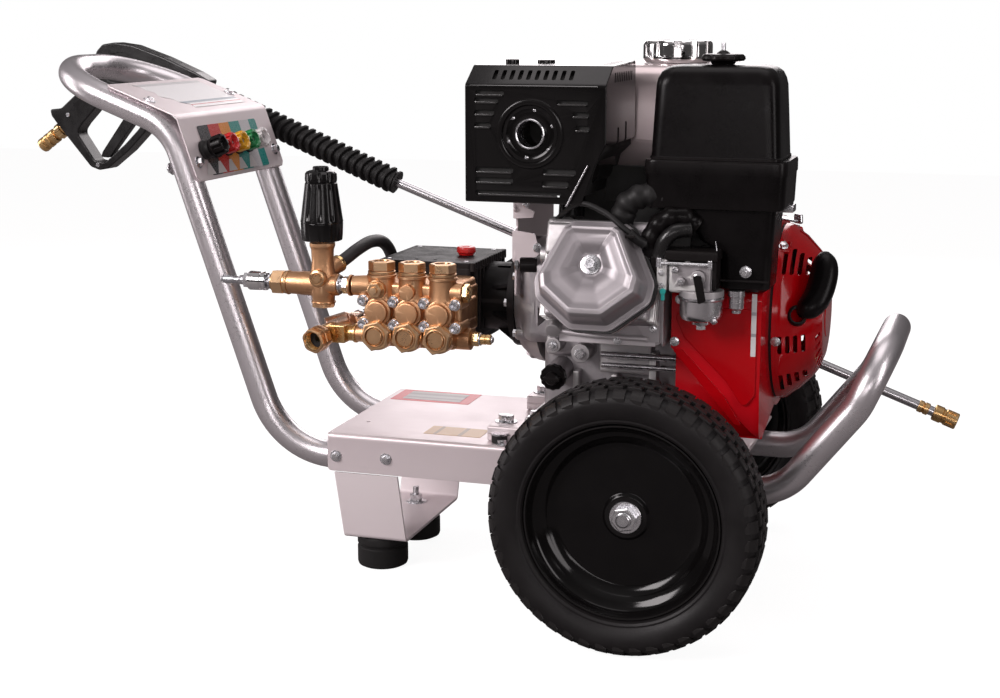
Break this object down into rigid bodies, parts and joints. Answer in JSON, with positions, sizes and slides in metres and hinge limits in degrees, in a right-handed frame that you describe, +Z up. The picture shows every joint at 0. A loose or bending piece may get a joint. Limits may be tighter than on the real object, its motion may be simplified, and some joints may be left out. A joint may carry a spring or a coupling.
{
  "type": "engine-driven pressure washer",
  "caption": "Cart-mounted petrol pressure washer: direct-drive brass plunger pump with unloader, tilted-cylinder engine, bent-tube handle, wheels, spray gun and lance.",
  "frame": {"origin": "bottom centre of the bounding box, on the floor the wheels and feet stand on", "axes": "+Z up; +X from the handle towards the front loop, square to the axle; the pump's manifold and the engine's valve cover face -Y"},
  "size_m": [1.4327, 0.6252, 0.7183],
  "materials": {
    "aluminium": "satin",
    "engine_aluminium": "cast",
    "tank_silver": "gloss",
    "black_paint": "gloss",
    "black_plastic": "matte",
    "pump_black": "painted",
    "rubber": "matte",
    "tyre": "matte",
    "hose": "matte",
    "brass": "cast and machined",
    "zinc_steel": "zinc plated",
    "chrome": "polished",
    "ceramic": "polished",
    "red_paint": "gloss",
    "red_plastic": "gloss",
    "yellow_plastic": "gloss",
    "green_plastic": "gloss",
    "white_plastic": "gloss"
  },
  "bodies": {
    "cart": {"muffler": "black_paint", "muffler_guard": "black_paint", "axle": "zinc_steel", "axle_nut_near": "zinc_steel", "axle_nut_far": "zinc_steel", "lance_tube": "zinc_steel", "foot_bracket": "aluminium", "base_plate": "aluminium", "handle_frame": "aluminium", "front_loop": "aluminium", "control_panel": "aluminium", "engine_rail_near": "aluminium", "engine_rail_far": "aluminium", "foot_near": "rubber", "foot_far": "rubber", "lance_grip": "rubber", "crankcase": "engine_aluminium", "cylinder_head": "engine_aluminium", "valve_cover": "engine_aluminium", "carburettor": "engine_aluminium", "fan_shroud": "red_paint", "recoil_cover": "red_paint", "air_cleaner_case": "black_plastic", "air_cleaner_cover": "black_plastic", "gun_body": "black_plastic", "nozzle_black": "black_plastic", "fuel_tank": "tank_silver", "pump_crankcase": "pump_black", "nozzle_red": "red_plastic", "nozzle_yellow": "yellow_plastic", "nozzle_green": "green_plastic", "nozzle_white": "white_plastic", "pump_manifold": "brass", "discharge_cap_1": "brass", "discharge_cap_2": "brass", "discharge_cap_3": "brass", "thermal_valve": "brass", "unloader_body": "brass", "bypass_hose": "hose"},
    "wheel_near": {"tyre_near": "tyre", "rim_near": "black_paint"},
    "wheel_far": {"tyre_far": "tyre", "rim_far": "black_paint"},
    "crank": {"crankshaft": "zinc_steel", "flywheel": "engine_aluminium", "pump_shaft": "zinc_steel"},
    "plunger_1": {"plunger_1": "ceramic"},
    "plunger_2": {"plunger_2": "ceramic"},
    "plunger_3": {"plunger_3": "ceramic"},
    "unloader_knob": {"unloader_knob": "black_plastic"},
    "outlet_sleeve": {"outlet_coupler": "chrome"},
    "inlet_swivel": {"inlet_swivel": "brass"},
    "oil_cap": {"pump_oil_cap": "red_plastic"},
    "fuel_cap": {"fuel_cap": "chrome"},
    "air_cleaner_knob": {"air_cleaner_knob": "black_plastic"},
    "recoil_grip": {"recoil_grip": "black_plastic"},
    "throttle_lever": {"throttle_lever": "zinc_steel"},
    "choke_lever": {"choke_lever": "black_plastic"},
    "trigger": {"gun_trigger": "black_plastic"},
    "nozzle_sleeve": {"lance_coupler": "brass"}
  },
  "joints": [
    {"name": "wheel_near_spin", "type": "hinge", "parent": "cart", "child": "wheel_near", "pos_m": [0.3524, -0.2696, 0.165], "axis": [0, 1, 0], "continuous": true},
    {"name": "wheel_far_spin", "type": "hinge", "parent": "cart", "child": "wheel_far", "pos_m": [0.3524, 0.2696, 0.165], "axis": [0, 1, 0], "continuous": true},
    {"name": "crank_spin", "type": "hinge", "parent": "cart", "child": "crank", "pos_m": [0.3524, 0, 0.375], "axis": [1, 0, 0], "continuous": true},
    {"name": "plunger_1_slide", "type": "slide", "parent": "cart", "child": "plunger_1", "axis": [0, 1, 0], "range_m": [-0.014, 0]},
    {"name": "plunger_2_slide", "type": "slide", "parent": "cart", "child": "plunger_2", "axis": [0, 1, 0], "range_m": [-0.0035, 0.0105]},
    {"name": "plunger_3_slide", "type": "slide", "parent": "cart", "child": "plunger_3", "axis": [0, 1, 0], "range_m": [-0.0035, 0.0105]},
    {"name": "unloader_knob_turn", "type": "hinge", "parent": "cart", "child": "unloader_knob", "pos_m": [-0.0766, -0.17, 0.465], "axis": [0, 0, 1], "range_deg": [-360, 720]},
    {"name": "outlet_sleeve_slide", "type": "slide", "parent": "cart", "child": "outlet_sleeve", "axis": [1, 0, 0], "range_m": [0, 0.0045], "stiffness_N_per_m": 400},
    {"name": "inlet_swivel_spin", "type": "hinge", "parent": "cart", "child": "inlet_swivel", "pos_m": [-0.07071, -0.1875, 0.34283], "axis": [-0.2005, -0.9723, -0.1203], "continuous": true},
    {"name": "oil_cap_turn", "type": "hinge", "parent": "cart", "child": "oil_cap", "pos_m": [0.0644, -0.01, 0.4303], "axis": [0, 0, 1], "range_deg": [0, 720]},
    {"name": "fuel_cap_turn", "type": "hinge", "parent": "cart", "child": "fuel_cap", "pos_m": [0.3424, 0.03, 0.6888], "axis": [0, 0, 1], "range_deg": [0, 90]},
    {"name": "air_cleaner_knob_turn", "type": "hinge", "parent": "cart", "child": "air_cleaner_knob", "pos_m": [0.4334, -0.15, 0.6923], "axis": [0, 0, 1], "range_deg": [0, 1080]},
    {"name": "recoil_pull", "type": "slide", "parent": "cart", "child": "recoil_grip", "axis": [0.3008, -0.9324, 0.2005], "range_m": [0, 0.5], "stiffness_N_per_m": 20},
    {"name": "throttle_lever_turn", "type": "hinge", "parent": "cart", "child": "throttle_lever", "pos_m": [0.4704, -0.02, 0.5005], "axis": [0, 0, 1], "range_deg": [-20, 20]},
    {"name": "choke_lever_turn", "type": "hinge", "parent": "cart", "child": "choke_lever", "pos_m": [0.4234, -0.2315, 0.448], "axis": [0, 1, 0], "range_deg": [0, 60]},
    {"name": "trigger_pull", "type": "hinge", "parent": "cart", "child": "trigger", "pos_m": [-0.5316, 0.175, 0.61], "axis": [0, 1, 0], "range_deg": [0, 14], "stiffness_Nm_per_rad": 0.6},
    {"name": "nozzle_sleeve_slide", "type": "slide", "parent": "cart", "child": "nozzle_sleeve", "axis": [-0.9374, 0, 0.3482], "range_m": [0, 0.005], "stiffness_N_per_m": 400}
  ]
}
